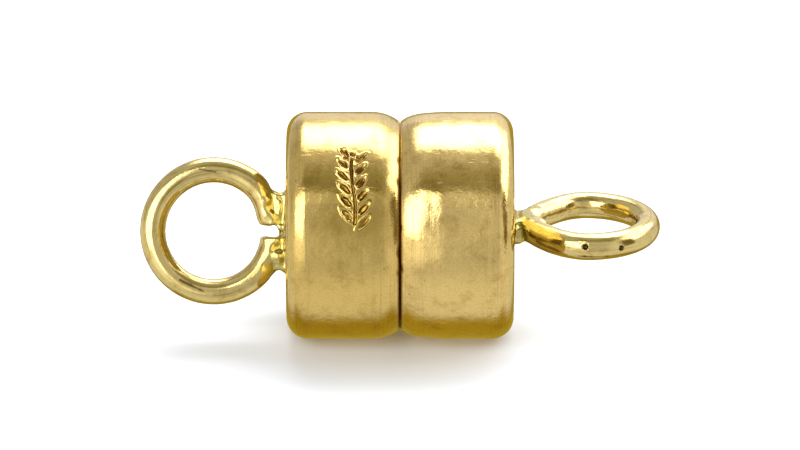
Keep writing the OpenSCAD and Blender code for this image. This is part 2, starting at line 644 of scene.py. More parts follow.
def add_solder(bm, blocks, beads, pad):
    for low, high in blocks:
        add_block(bm, low, high)
    for middle, radii in beads:
        add_bead(bm, middle, radii)
    add_pad(bm, *pad)


def plug_neck():
    bm = bmesh.new()
    add_wire(bm, -NECK_SWEEP, NECK_SWEEP, NECK_STEPS)
    apply_bend(bm, plug_bend, plug_thin)
    add_solder(bm, PLUG_BLOCKS, PLUG_BEADS, PLUG_PAD)
    bm = wrap(bm)
    melt(bm, PLUG_FIRST_MELT, lambda at: plug_loose(at) < MELT_NEAR)
    add_lumps(bm, PLUG_LUMPS, plug_loose)
    melt(bm, PLUG_LAST_MELT, lambda at: plug_loose(at) < MELT_FAR)
    true_wire(bm, plug_bend, plug_thin, plug_loose)
    sink_pad(bm, *PLUG_PAD_SHOWS)
    return bm


# %% [markdown]
# ## The socket's neck
# The socket's ring was left open: its two wire ends point at the cup, with a slot between them, and
# solder holds each to the end face. The ends are cut straight, as cutters leave them. The solder is a
# web behind the slot and uneven beads beside the ends, melted in four passes. The last two passes
# soften the corner of the upper end and the outline above and below the ends.

# %% The slot and the solder of the socket's neck, in millimetres
SLOT_TOP = 0.13
SLOT_BOTTOM = -0.15
SOCKET_SOLDER = ((0.42, 0.95), (0.9, 0.12))
SOCKET_BLOCKS = (
    ((-0.1, -0.94, -0.24), (0.3, SLOT_BOTTOM, 0.24)),
    ((-0.1, SLOT_TOP, -0.24), (0.3, 0.91, 0.24)),
    ((-0.1, -0.88, -0.2), (0.17, 0.83, 0.2)),
)
SOCKET_BEADS = (
    ((0.02, -0.95, 0), (0.08, 0.07, 0.2)),
    ((0.02, 0.93, 0), (0.08, 0.07, 0.2)),
    ((0.34, 0.92, 0), (0.12, 0.08, 0.2)),
    ((0, -0.02, 0), (0.1, 1.05, 0.4)),
    ((0.22, -0.6, 0.14), (0.2, 0.24, 0.22)),
    ((0.2, -0.62, -0.14), (0.2, 0.2, 0.2)),
    ((0.17, 0.55, 0.16), (0.12, 0.25, 0.14)),
    ((0.15, 0.1, 0.18), (0.1, 0.12, 0.12)),
)
SOCKET_PAD = (1.45, 0.8)
SOCKET_PAD_SHOWS = (1.15, 0.5)
SOCKET_LUMPS = 0.048
MELT_TIPS = 0.2
WEB_REACH = 0.4
# Where the last two meltings work: from and to this far off the end face, and at these heights.
UPPER_END = (0.42, 0.85, SLOT_TOP - 0.05, 0.3)
OUTLINE = (0.05, 0.45, 0.78)
SOCKET_FIRST_MELT = 10
SOCKET_SECOND_MELT = 19
UPPER_END_MELT = 45
OUTLINE_MELT = 30


# %% Two wire ends with a slot between them
def socket_loose(place):
    return distance_from(SOCKET_SOLDER, place)


def on_upper_end(at):
    near, far, low, high = UPPER_END
    return near < at.x < far and low < at.y < high


def on_outline(at):
    near, far, beyond = OUTLINE
    return near < at.x < far and abs(at.y) > beyond


def socket_neck():
    bm = bmesh.new()
    add_wire(bm, 0, NECK_SWEEP, NECK_STEPS // 2)
    apply_bend(bm, socket_bend, socket_thin)
    cut_straight(bm, SLOT_TOP, True)
    upper = bpy.data.meshes.new("upper end")
    bm.to_mesh(upper)
    bm.clear()
    add_wire(bm, -NECK_SWEEP, 0, NECK_STEPS // 2)
    apply_bend(bm, socket_bend, socket_thin)
    cut_straight(bm, SLOT_BOTTOM, False)
    bm.from_mesh(upper)
    bpy.data.meshes.remove(upper)
    add_solder(bm, SOCKET_BLOCKS, SOCKET_BEADS, SOCKET_PAD)
    bm = wrap(bm)
    melt(bm, SOCKET_FIRST_MELT, lambda at: socket_loose(at) < MELT_NEAR and at.x < WEB_REACH)
    add_lumps(bm, SOCKET_LUMPS, socket_loose)
    melt(bm, SOCKET_SECOND_MELT, lambda at: socket_loose(at) < MELT_TIPS)
    melt(bm, UPPER_END_MELT, on_upper_end)
    melt(bm, OUTLINE_MELT, on_outline)
    true_wire(bm, socket_bend, socket_thin, socket_loose)
    sink_pad(bm, *SOCKET_PAD_SHOWS)
    return bm


# %% [markdown]
# ## Joining cup, ring and neck
# Soldered metal is one solid, so the three closed meshes are united into one. The ring's own mesh is
# a clean spin, which runs from neck to neck. The union leaves long thin triangles on the cup's wall,
# and their averaged normals would dent its mirror images, so the wall is given the exact normals of
# a cylinder.

# %% One solid from several
RING_FROM = 56
RING_STEPS = 160
WALL_TOLERANCE = 0.0003


def ring_mesh(bend, thin):
    bm = bmesh.new()
    add_wire(bm, RING_FROM, 360 - RING_FROM, RING_STEPS)
    apply_bend(bm, bend, thin)
    return bm


def unite(first, others):
    for other in others:
        union = first.modifiers.new("union", "BOOLEAN")
        union.operation = "UNION"
        union.solver = "MANIFOLD"
        union.object = other
    result = bpy.data.meshes.new_from_object(
        first.evaluated_get(bpy.context.evaluated_depsgraph_get())
    )
    for other in others:
        bpy.data.objects.remove(other)
    first.modifiers.clear()
    first.data = result
    print(first.name, "after the union has", len(result.polygons), "faces")


def true_wall_normals(shell, place):
    to_cup = place.inverted()
    normals = []
    for vert in shell.data.vertices:
        local = to_cup @ vert.co
        radius = math.hypot(local.y, local.z)
        on_wall = RIM_CENTRE_X < local.x < CUP_END - END_R and abs(radius - CUP_R) < WALL_TOLERANCE
        normals.append(Vector((0, local.y, local.z)) / radius if on_wall else vert.normal.copy())
    shell.data.normals_split_custom_set_from_vertices(normals)


# %% [markdown]
# ## Pits
# Gas leaves small pits in cast and drawn metal. Two of them are open on the outer side of the plug's
# ring. The wire's mesh is divided finely around each, and its vertices are pushed in.

# %% Two pits: an angle round the ring, an angle round the wire, and a radius
PITS = ((-88, 19, 0.085), (-117, 1, 0.075))
PIT_DEPTH = 0.055
PIT_CUTS = 4
PIT_FLOOR = 0.3
PIT_RAGGED = 0.8
PIT_RAGGED_SIZE = 0.06


def wire_place(angle, turn, bend):
    out = Vector((-math.cos(math.radians(angle)), math.sin(math.radians(angle)), 0))
    turn = math.radians(turn)
    on_wire = out * math.cos(turn) + Vector((0, 0, 1)) * math.sin(turn)
    return RING_CENTRE + out * RING_R + on_wire * WIRE_R + bend(angle)


def add_pits(bm):
    for angle, turn, size in PITS:
        middle = wire_place(angle, turn, plug_bend)
        near = {vert for vert in bm.verts if (vert.co - middle).length < 2 * size}
        edges = [edge for edge in bm.edges if near.issuperset(edge.verts)]
        bmesh.ops.subdivide_edges(bm, edges=edges, cuts=PIT_CUTS, use_grid_fill=True)
        bm.normal_update()
        for vert in bm.verts:
            edge_at = size * (1 + PIT_RAGGED * noise.noise(vert.co / PIT_RAGGED_SIZE))
            share = ease(edge_at, PIT_FLOOR * size, (vert.co - middle).length)
            vert.co -= vert.normal * PIT_DEPTH * share
        print("a pit shade", 2 * size, "mm across, at", middle)
    return bm


# %% [markdown]
# ## The two halves
# The plug's half is drawn as it stands. The socket's half is drawn the same way round and mirrored,
# and its ring is turned by 70 degrees about the axis. A mirror turns a mesh inside out, so its faces
# are flipped back before the union. Each finished half replaces its CAD node and rides on its body.

# %% Where each half and its ring go
FACE_OUT = Matrix.Translation((CUP_END, 0, 0))
MIRROR = Matrix.Scale(-1, 4, (1, 0, 0))
plug_place = TO_METRES @ AXIS_UP
plug_ring_place = plug_place @ FACE_OUT
socket_place = TO_METRES @ AXIS_UP @ MIRROR
socket_ring_place = (
    socket_place @ Matrix.Translation((0, 0, -SOCKET_RING_DROP)) @ FACE_OUT
    @ Matrix.Rotation(SOCKET_RING_TURN, 4, "X")
)

# %% The plug's cup, neck and ring
PLUG_RIM_SEED = 1

plug_cup = cup_mesh(PLUG_WALL_STEPS)
lower_wall(plug_cup)
wear_rim(plug_cup, PLUG_RIM_SEED)
plug_shell = make_object("plug_cup_and_ring", plug_cup, plug_place)
unite(plug_shell, [
    make_object("plug_neck", plug_neck(), plug_ring_place),
    make_object("plug_ring", add_pits(ring_mesh(plug_bend, plug_thin)), plug_ring_place),
])
true_wall_normals(plug_shell, plug_place)
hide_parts("plug_shell")
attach(plug_shell, "plug_half")

# %% The socket's cup, neck and ring
SOCKET_RIM_SEED = 5

socket_cup = cup_mesh(SOCKET_WALL_STEPS)
strike(socket_cup)
wear_rim(socket_cup, SOCKET_RIM_SEED)
socket_shell = make_object("socket_cup_and_ring", socket_cup, socket_place)
socket_shell.data.flip_normals()
others = [
    make_object("socket_neck", socket_neck(), socket_ring_place),
    make_object("socket_ring", ring_mesh(socket_bend, socket_thin), socket_ring_place),
]
for other in others:
    other.data.flip_normals()
unite(socket_shell, others)
true_wall_normals(socket_shell, socket_place)
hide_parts("socket_shell")
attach(socket_shell, "socket_half")

# %% [markdown]
# ## The magnets
# The magnets are pressed and sintered discs, tumbled so that their edges are round, and plated with
# nickel. The socket's lies below its rim and the plug's stands proud of its own, so that the halves
# centre themselves. They are drawn with the same pen as the cups, and spun in the same way.

# %% Two spun discs: where each starts and ends on the axis
MAGNET_R = 2.25
MAGNET_EDGE = 0.1
SOCKET_MAGNET_AT = (-2.425, -0.425)
PLUG_MAGNET_AT = (-0.395, 2.425)
FLAT_STEPS = 6
EDGE_STEPS = 6
SIDE_STEPS = 8


def magnet_mesh(first, last):
    bm = bmesh.new()
    at = bm.verts.new((first, 0, 0))
    at = draw_line(bm, at, (first, MAGNET_R - MAGNET_EDGE, 0), FLAT_STEPS)
    at = draw_arc(bm, at, (first + MAGNET_EDGE, MAGNET_R - MAGNET_EDGE, 0), -90, EDGE_STEPS)
    at = draw_line(bm, at, (last - MAGNET_EDGE, MAGNET_R, 0), SIDE_STEPS)
    at = draw_arc(bm, at, (last - MAGNET_EDGE, MAGNET_R - MAGNET_EDGE, 0), -90, EDGE_STEPS)
    draw_line(bm, at, (last, 0, 0), FLAT_STEPS)
    spin_closed(bm)
    return bm


socket_magnet = make_object("socket_magnet_disc", magnet_mesh(*SOCKET_MAGNET_AT), plug_place)
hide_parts("socket_magnet")
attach(socket_magnet, "socket_half")
plug_magnet = make_object("plug_magnet_disc", magnet_mesh(*PLUG_MAGNET_AT), plug_place)
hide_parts("plug_magnet")
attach(plug_magnet, "plug_core")

# %% [markdown]
# ## Materials
# Every material is a small network of nodes. One function adds a node and goes through its settings:
# another node's output is linked, and a number or a colour is set. Colours are written as the hex
# codes that a colour picker shows, and one function turns them to the linear values that light adds
# up in.

# %% Helpers that turn a colour to linear, add a node and start a material
def linear(code):
    channels = [int(code[i:i + 2], 16) / 255 for i in (1, 3, 5)]
    # The curve of the sRGB standard, with the standard's numbers.
    return [c / 12.92 if c <= 0.04045 else ((c + 0.055) / 1.055) ** 2.4 for c in channels] + [1]


def add(tree, kind, settings, out=0):
    node = tree.nodes.new("ShaderNode" + kind)
    for name, value in settings.items():
        if isinstance(value, bpy.types.NodeSocket):
            tree.links.new(value, node.inputs[name])
        elif isinstance(name, str) and hasattr(node, name):
            setattr(node, name, value)
        else:
            node.inputs[name].default_value = value
    return None if out is None else node.outputs[out]


def new_material(name, settings):
    material = bpy.data.materials.new(name)
    material.use_nodes = True
    shader = material.node_tree.nodes["Principled BSDF"]
    for socket, value in settings.items():
        shader.inputs[socket].default_value = value
    return material, material.node_tree, shader


print("a middle grey, turned to linear:", round(linear("#808080")[0], 3))

# %% [markdown]
# ## Tables for patterns, relief and colour
# A worn surface is made of layers. Patterns of different grain lie over it, and each adds a little
# relief or a little colour where it is strong enough. The patterns are noises as large as the real
# marks, or as coarse as those have to be drawn to show. All of it could be wired by hand, node by
# node, but a finish is easier to read and to change as a few tables. So each value of a material has a
# name, and these loops go through the tables and fill the values in. Reliefs add up, and the last
# colour lies on top.

# %% Loops that fill in values and build relief and colour from tables
SOFTLY = {"interpolation_type": "SMOOTHSTEP"}


def grow_patterns(tree, values, table):
    for name, runs, size, levels, fineness in table:
        values[name] = add(tree, "TexNoise", {
            "Vector": values[runs], "Scale": 1 / size, "Detail": levels, "Roughness": fineness,
        })


def take_shares(tree, values, table):
    for name, source, starts, full, least, most in table:
        values[name] = add(tree, "MapRange", SOFTLY | {
            "Value": values[source], "From Min": starts, "From Max": full,
            "To Min": least, "To Max": most,
        })


def keep_within(tree, values, table):
    for name, source, zone in table:
        values[name] = add(tree, "Math", {"operation": "MULTIPLY", 0: values[source], 1: values[zone]})


def raise_relief(tree, shader, values, table):
    below = {}
    for name, depth in table:
        settings = {"Strength": 1, "Distance": depth * METRES, "Height": values[name]}
        below = {"Normal": add(tree, "Bump", settings | below)}
    tree.links.new(below["Normal"], shader.inputs["Normal"])


def lay_colours(tree, shader, values, ground, table):
    colour = linear(ground)
    for name, code in table:
        colour = add(tree, "Mix", {
            "data_type": "RGBA", 0: values[name], 6: colour, 7: linear(code),
        }, out=2)
    tree.links.new(colour, shader.inputs["Base Color"])


# %% [markdown]
# ## Coordinates that run round an axis
# A wheel or a die leaves lines that run round the axis of what it worked on. A noise makes such lines
# when the way round the axis is squeezed to almost nothing before the noise is read, while the ways
# along the axis and away from it stay as they are. The axis is the clasp's own for a cup, and that of
# the ring for a wire.

# %% Places in millimetres, the distances from a middle, and turned places
SQUEEZED = 0.04


def round_axis(tree, centre, axis):
    place = add(tree, "TexCoord", {}, out="Object")
    place = add(tree, "VectorMath", {"operation": "SCALE", 0: place, "Scale": 1 / METRES})
    centred = add(tree, "VectorMath", {"operation": "SUBTRACT", 0: place, 1: centre})
    along = add(tree, "VectorMath", {"operation": "DOT_PRODUCT", 0: centred, 1: axis}, out="Value")
    on_axis = add(tree, "VectorMath", {"operation": "MULTIPLY", 0: axis, 1: along})
    spoke = add(tree, "VectorMath", {"operation": "SUBTRACT", 0: centred, 1: on_axis})
    radius = add(tree, "VectorMath", {"operation": "LENGTH", 0: spoke}, out="Value")
    around = add(tree, "VectorMath", {"operation": "NORMALIZE", 0: spoke})
    around = add(tree, "VectorMath", {"operation": "SCALE", 0: around, "Scale": SQUEEZED})
    run = add(tree, "CombineXYZ", {"X": along, "Y": radius})
    x, _, z = add(tree, "SeparateXYZ", {0: place}).node.outputs
    return {
        "place": place,
        "x": x,
        "z": z,
        "radius": radius,
        "off middle": add(tree, "Math", {"operation": "ABSOLUTE", 0: along}),
        "turned": add(tree, "VectorMath", {"operation": "ADD", 0: around, 1: run}),
    }


# %% [markdown]
# ## The gold of the cups
# The cups were turned, polished on a wheel and handled since. Polishing leaves a skin that is nearly a
# mirror, but not quite flat, so the eye sees bright mirror images with soft, slightly shaky edges. The
# skin undulates like orange peel, keeps the last fine lines of the wheel, most of them near the edges,
# and is crossed by scratches. Handling leaves specks and brownish stains, and the heat of soldering
# made the ends paler. The seam is painted darker with shade, less on top, and the struck ornament is
# darker in its recesses. The real lines and scratches are a few thousandths of a millimetre wide. That
# is too fine to show, so the lines are drawn 0.03 mm wide, which is about a pixel in this view, and
# the scratches 0.06 mm.

# %% Patterns on the cups: a name, how it runs, a size in millimetres, levels of detail and fineness
CUP_PATTERNS = (
    ("peel", "place", 0.28, 3, 0.55),
    ("grain", "place", 0.05, 3, 0.65),
    ("wheel", "turned", 0.03, 3, 0.65),
    ("scratches", "one way", 0.06, 1, 0.5),
    ("more scratches", "other way", 0.06, 1, 0.5),
    ("clouds", "place", 0.9, 4, 0.65),
    ("stains", "place", 0.5, 5, 0.7),
    ("specks", "place", 0.08, 4, 0.65),
)
# Scratches are drawn out along one direction, which is turned by these angles.
SCRATCH_TURNS = (("one way", (0.3, 0.2, 1.4)), ("other way", (1.1, 0.6, 0.9)))
DRAWN_OUT = (0.08, 1, 1)
# Depths in millimetres.
CUP_RELIEFS = (
    ("peel", 0.009), ("grain", 0.0015), ("wheel near edges", 0.0012),
    ("scratched", -0.001), ("scratched again", -0.001),
)

# %% Zones of the cups in millimetres: a name, a distance, where it starts and is full, its shares
CUP_ZONES = (
    ("near edges", "off wall middle", 0.3, 1.1, 0.12, 1),
    ("seam", "off middle", 0.09, 0.015, 0, 1),
    # The seam's painted shade is weaker on top: a share of 0.3 at the top of the cup.
    ("less on top", "z", CUP_R + 2.1, CUP_R + 1.3, 0.3, 1),
    ("fresher plug", "x", -0.2, 0.2, 0, 1),
    ("below the wall", "radius", CUP_R - 0.008, CUP_R - 0.035, 0, 1),
    ("socket's wall", "x", -0.68, -0.72, 0, 1),
    ("off the end", "off middle", 2.2, 2.1, 0, 1),
    ("heated", "off middle", CUP_END - 0.2, CUP_END, 0, 1),
    ("under solder", "ragged radius", 1.45, 1.0, 0, 1),
    ("round the mark", "to mark", 1.15, 0.3, 0, 0.75),
)
WALL_MIDDLE = 1.45
SOLDER_RAGGED = 1.6
MIDDLE_LEVEL = 0.5
# The gold is darkest round the lower part of the ornament.
MARK_DARKEST_ALONG = -0.7 * MARK_LONG
MARK_DARKEST_TURN = MARK_TURN + MARK_DARKEST_ALONG / CUP_R
MARK_DARKEST_PLACE = Vector((
    -MARK_X, -CUP_R * math.cos(MARK_DARKEST_TURN), CUP_R + CUP_R * math.sin(MARK_DARKEST_TURN)
))

# %% How strong a pattern has to be before it shows, and how much it then does
CUP_MARKS = (
    ("scratched", "scratches", 0.7, 0.78, 0, 1),
    ("scratched again", "more scratches", 0.7, 0.78, 0, 1),
    ("satin", "clouds", 0.35, 0.7, 0.1, 0.2),
    ("cloudy", "clouds", 0.3, 0.6, 0.4, 1),
    ("stained", "stains", 0.45, 0.75, 0, 0.8),
    ("specked", "specks near edges", 0.69, 0.78, 0, 0.85),
    ("lined", "wheel", 0.48, 0.68, 0, 0.38),
    ("grainy", "grain", 0.45, 0.7, 0, 0.3),
)
CUP_LIMITS = (
    ("wheel near edges", "wheel", "near edges"),
    ("lined", "lined", "near edges"),
    # Painted shade in the seam, weaker on top.
    ("seam shade", "seam", "less on top"),
    ("struck", "below the wall", "socket's wall"),
    ("struck", "struck", "off the end"),
    ("soldered", "under solder", "heated"),
    ("darker round the mark", "round the mark", "cloudy"),
)
SPECKS_NEAR_EDGES = 0.07
SEAM_DULL = 0.25

# %% Colours on the cups, from the first layer to the last
CUP_GOLD = "#D5B76B"
CUP_COLOURS = (
    # The seam's dark brown is painted shade.
    ("fresher plug", "#DEC078"), ("stained", "#B4944E"), ("seam shade", "#805A1C"), ("struck", "#7E5A28"),
    ("heated", "#CDB566"), ("soldered", "#C2B069"), ("specked", "#80602A"), ("lined", "#A5853E"),
    # The gold is darker round the lower part of the ornament, in clouds.
    ("grainy", "#A88A42"), ("darker round the mark", "#947A30"),
)


# %% The material of the cups
CLASP_MIDDLE = Vector((0, 0, CUP_R))
CLASP_AXIS = Vector((1, 0, 0))


def cup_gold_material():
    material, tree, shader = new_material("yellow gold, turned and polished", {"Metallic": 1})
    values = round_axis(tree, CLASP_MIDDLE, CLASP_AXIS)
    for name, turn in SCRATCH_TURNS:
        values[name] = add(tree, "Mapping", {
            "Vector": values["place"], "Rotation": turn, "Scale": DRAWN_OUT,
        })
    grow_patterns(tree, values, CUP_PATTERNS)
    off_wall_middle = add(tree, "Math", {"operation": "SUBTRACT", 0: values["off middle"], 1: WALL_MIDDLE})
    values["off wall middle"] = add(tree, "Math", {"operation": "ABSOLUTE", 0: off_wall_middle})
    values["to mark"] = add(tree, "VectorMath", {
        "operation": "DISTANCE", 0: values["place"], 1: MARK_DARKEST_PLACE,
    }, out="Value")
    evenly = add(tree, "Math", {"operation": "SUBTRACT", 0: values["clouds"], 1: MIDDLE_LEVEL})
    values["ragged radius"] = add(tree, "Math", {
        "operation": "MULTIPLY_ADD", 0: evenly, 1: SOLDER_RAGGED, 2: values["radius"],
    })
    take_shares(tree, values, CUP_ZONES)
    values["specks near edges"] = add(tree, "Math", {
        "operation": "MULTIPLY_ADD", 0: values["near edges"], 1: SPECKS_NEAR_EDGES, 2: values["specks"],
    })
    take_shares(tree, values, CUP_MARKS)
    keep_within(tree, values, CUP_LIMITS)
    rough = add(tree, "Math", {
        "operation": "MULTIPLY_ADD", 0: values["seam"], 1: SEAM_DULL, 2: values["satin"],
    })
    tree.links.new(rough, shader.inputs["Roughness"])
    raise_relief(tree, shader, values, CUP_RELIEFS)
    lay_colours(tree, shader, values, CUP_GOLD, CUP_COLOURS)
    print(material.name, "has", len(tree.nodes), "nodes")
    return material


cup_gold = cup_gold_material()

# %% [markdown]
# ## The gold of the wires
# Wire is pulled through a die, which leaves it brighter than the cups, with fine lines round the ring.
# They are drawn 0.05 mm wide, because the real ones are too fine to show. The wire has specks and
# stains too. Solder has more silver and zinc in it than the gold round it, so the eye sees it as a
# greener, paler gold. Thin dark streaks are drawn as lines between two places on the wire's surface:
# tarnish on the socket's ring, and a painted reflection on the plug's ring.

# %% A dark streak along a line on a wire, for tarnish and for a painted reflection
STREAK_HALF = 0.05
STREAK_CORE = 0.005
STREAK_SHARE = 0.85


def streak(tree, place, start, end, ragged):
    reach = end - start
    from_start = add(tree, "VectorMath", {"operation": "SUBTRACT", 0: place, 1: start})
    along = add(tree, "VectorMath", {
        "operation": "DOT_PRODUCT", 0: from_start, 1: reach / reach.length_squared,
    }, out="Value")
    along = add(tree, "Clamp", {"Value": along})
    on_line = add(tree, "VectorMath", {"operation": "SCALE", 0: reach, "Scale": along})
    off_line = add(tree, "VectorMath", {"operation": "DISTANCE", 0: from_start, 1: on_line}, out="Value")
    off_line = add(tree, "Math", {"operation": "ADD", 0: off_line, 1: ragged})
    return add(tree, "MapRange", SOFTLY | {
        "Value": off_line, "From Min": STREAK_HALF, "From Max": STREAK_CORE, "To Max": STREAK_SHARE,
    })


# %% Patterns, zones, marks and colours of the wires, in tables like those of the cups
WIRE_PATTERNS = (
    ("peel", "place", 0.2, 2, 0.5),
    ("grain", "place", 0.05, 3, 0.6),
    ("drawn", "turned", 0.05, 3, 0.6),
    ("clouds", "place", 0.5, 4, 0.65),
    ("stains", "place", 0.35, 5, 0.7),
    ("specks", "place", 0.08, 4, 0.65),
)
WIRE_RELIEFS = (("peel", 0.004), ("grain", 0.001), ("drawn past neck", 0.0035))
WIRE_ZONES = (
    ("past neck", "radius", 0.4, 1.2, 0, 1),
    ("soldered", "off cups", 0.6, 0.3, 0, 0.85),
)
WIRE_MARKS = (
    ("bright", "clouds", 0.35, 0.7, 0.06, 0.14),
    ("stained", "stains", 0.45, 0.75, 0, 1),
    ("lined", "drawn", 0.52, 0.7, 0, 0.85),
    ("specked", "specks", 0.7, 0.78, 0, 0.9),
)
WIRE_LIMITS = (("drawn past neck", "drawn", "past neck"),)
WIRE_GOLD = "#D3BD7A"
WIRE_COLOURS = (
    ("stained", "#B59A58"), ("lined", "#8C7030"), ("specked", "#6E5220"), ("soldered", "#B6A65E"),
)
# The streaks' dark brown: tarnish on the socket's ring, a painted reflection on the plug's ring.
TARNISH_AND_PAINTED_REFLECTION = "#5E4214"
# Painted shade in the pits, over the real dents in the ring's mesh.
PIT_SHADE = "#3E2C12"
# A pit is painted with shade from its edge in to its slope, as shares of its radius.
PIT_SHADE_REACH = (1.1, 0.82)
PIT_SHADE_SHARE = 0.95
# Clouds of this level leave a streak as it is, and others shift its edge by a share of this size.
STREAK_LEVEL = 0.45
STREAK_RAGGED = 0.12


# %% The material of a wire ring and its solder
def wire_gold_material(name, centre, axis, pits, streaks):
    material, tree, shader = new_material(name, {"Metallic": 1})
    values = round_axis(tree, centre, axis)
    grow_patterns(tree, values, WIRE_PATTERNS)
    off_middle = add(tree, "Math", {"operation": "ABSOLUTE", 0: values["x"]})
    values["off cups"] = add(tree, "Math", {"operation": "SUBTRACT", 0: off_middle, 1: CUP_END})
    take_shares(tree, values, WIRE_ZONES + WIRE_MARKS)
    keep_within(tree, values, WIRE_LIMITS)
    tree.links.new(values["bright"], shader.inputs["Roughness"])
    raise_relief(tree, shader, values, WIRE_RELIEFS)
    colours = list(WIRE_COLOURS)
    ragged = add(tree, "Math", {"operation": "SUBTRACT", 0: values["clouds"], 1: STREAK_LEVEL})
    ragged = add(tree, "Math", {"operation": "MULTIPLY", 0: ragged, 1: STREAK_RAGGED})
    for number, (start, end) in enumerate(streaks):
        name = f"streak {number}"
        values[name] = streak(tree, values["place"], start, end, ragged)
        colours.append((name, TARNISH_AND_PAINTED_REFLECTION))
    # Each pit is painted dark with shade.
    for number, (middle, size) in enumerate(pits):
        name = f"pit shade {number}"
        to_pit = add(tree, "VectorMath", {
            "operation": "DISTANCE", 0: values["place"], 1: middle,
        }, out="Value")
        values[name] = add(tree, "MapRange", SOFTLY | {
            "Value": to_pit, "From Min": PIT_SHADE_REACH[0] * size, "From Max": PIT_SHADE_REACH[1] * size,
            "To Max": PIT_SHADE_SHARE,
        })
        colours.append((name, PIT_SHADE))
    lay_colours(tree, shader, values, WIRE_GOLD, colours)
    print(material.name, "has", len(tree.nodes), "nodes")
    return material


# %% Streaks, each from and to an angle round the ring and an angle round the wire
# The plug's streaks are a painted reflection of something dark, along the lower side of its ring.
PLUG_REFLECTION_STREAKS = (((-47, -5), (-66, -18)), ((-66, -18), (-88, -28)), ((-88, -28), (-106, -32)))
SOCKET_STREAKS = (((88, 99), (103, 80)), ((-124, 97), (-100, 90)))
RING_MIDDLE = CUP_END + RING_OUT
PLUG_RING_AXIS = Vector((0, 0, 1))
SOCKET_RING_AXIS = Vector((0, -math.sin(SOCKET_RING_TURN), math.cos(SOCKET_RING_TURN)))
TO_MILLIMETRES = TO_METRES.inverted()
plug_ring_mm = TO_MILLIMETRES @ plug_ring_place
socket_ring_mm = TO_MILLIMETRES @ socket_ring_place

plug_gold = wire_gold_material(
    "yellow gold, drawn wire and solder of the plug", Vector((RING_MIDDLE, 0, CUP_R)), PLUG_RING_AXIS,
    [(plug_ring_mm @ wire_place(angle, turn, plug_bend), size) for angle, turn, size in PITS],
    [[plug_ring_mm @ wire_place(*end, plug_bend) for end in ends] for ends in PLUG_REFLECTION_STREAKS],
)
socket_gold = wire_gold_material(
    "yellow gold, drawn wire and solder of the socket",
    Vector((-RING_MIDDLE, 0, CUP_R - SOCKET_RING_DROP)), SOCKET_RING_AXIS, [],
    [[socket_ring_mm @ wire_place(*end, socket_bend) for end in ends] for ends in SOCKET_STREAKS],
)

# %% Giving each face of a half its gold
PAST_END = 0.004

for shell, wire_gold in ((plug_shell, plug_gold), (socket_shell, socket_gold)):
    shell.data.materials.clear()
    shell.data.materials.append(cup_gold)
    shell.data.materials.append(wire_gold)
    for face in shell.data.polygons:
        face.material_index = 1 if abs(face.center.x) > (CUP_END + PAST_END) * METRES else 0
    wire_faces = sum(face.material_index for face in shell.data.polygons)
    print(shell.name, "has", wire_faces, "faces of wire and solder")

# %% [markdown]
# ## Nickel
# The disc magnets are pressed from powder, ground flat and plated with bright nickel. The eye sees a
# cool, pale metal that is a little cloudy, with fine grinding lines that run straight across. These
# are drawn 0.03 mm wide too, because the real ones are too fine to show. The edges, where the two
# halves knock together, are rubbed dull.

# %% Tables for the plated magnets, in millimetres
MAGNET_PATTERNS = (
    ("ground", "across", 0.03, 3, 0.5),
    ("peel", "place", 0.35, 2, 0.5),
    ("clouds", "place", 0.7, 4, 0.65),
    ("stains", "place", 0.4, 5, 0.7),
)
GROUND_TURN = (0.5, 0, 0)
GROUND_OUT = (1, 0.03, 1)
MAGNET_RELIEFS = (("peel", 0.004), ("ground", 0.0012))
MAGNET_SHARES = (
    ("rubbed", "radius", MAGNET_R - 0.3, MAGNET_R, 0, 0.12),
    ("satin", "clouds", 0.35, 0.7, 0.14, 0.26),
    ("stained", "stains", 0.48, 0.78, 0, 1),
)
MAGNET_NICKEL = "#C3C0B8"
MAGNET_COLOURS = (("stained", "#A39E92"),)


# %% The material of the magnets
def nickel_material():
    material, tree, shader = new_material("nickel plating on a ground magnet", {"Metallic": 1})
    values = round_axis(tree, CLASP_MIDDLE, CLASP_AXIS)
    values["across"] = add(tree, "Mapping", {
        "Vector": values["place"], "Rotation": GROUND_TURN, "Scale": GROUND_OUT,
    })
    grow_patterns(tree, values, MAGNET_PATTERNS)
    take_shares(tree, values, MAGNET_SHARES)
    rough = add(tree, "Math", {"operation": "ADD", 0: values["satin"], 1: values["rubbed"]})
    tree.links.new(rough, shader.inputs["Roughness"])
    raise_relief(tree, shader, values, MAGNET_RELIEFS)
    lay_colours(tree, shader, values, MAGNET_NICKEL, MAGNET_COLOURS)
    print(material.name, "has", len(tree.nodes), "nodes")
    return material


nickel = nickel_material()
for magnet in (plug_magnet, socket_magnet):
    magnet.data.materials.append(nickel)

# %% [markdown]
# ## The floor
# The clasp lies on a sheet of white paper that is much larger than the view. Polished gold mirrors
# whatever lies under it. A photographer holds small coloured cards under jewellery to shape what its
# lower side shows, so here the paper is kept out of the mirror image, and the tent below takes over.
# Uncoated paper is wood fibre, rough and dull, so the eye sees an even white with no shine. Single
# fibres are too fine to show, so the relief is as coarse as their tangle, about 0.4 mm.

# %% A wide sheet of white paper
PAPER_HALF = 3000
FIBRE = 0.4
FIBRE_DETAIL = 4
FIBRE_DEPTH = 0.01
FIBRE_STRENGTH = 0.1

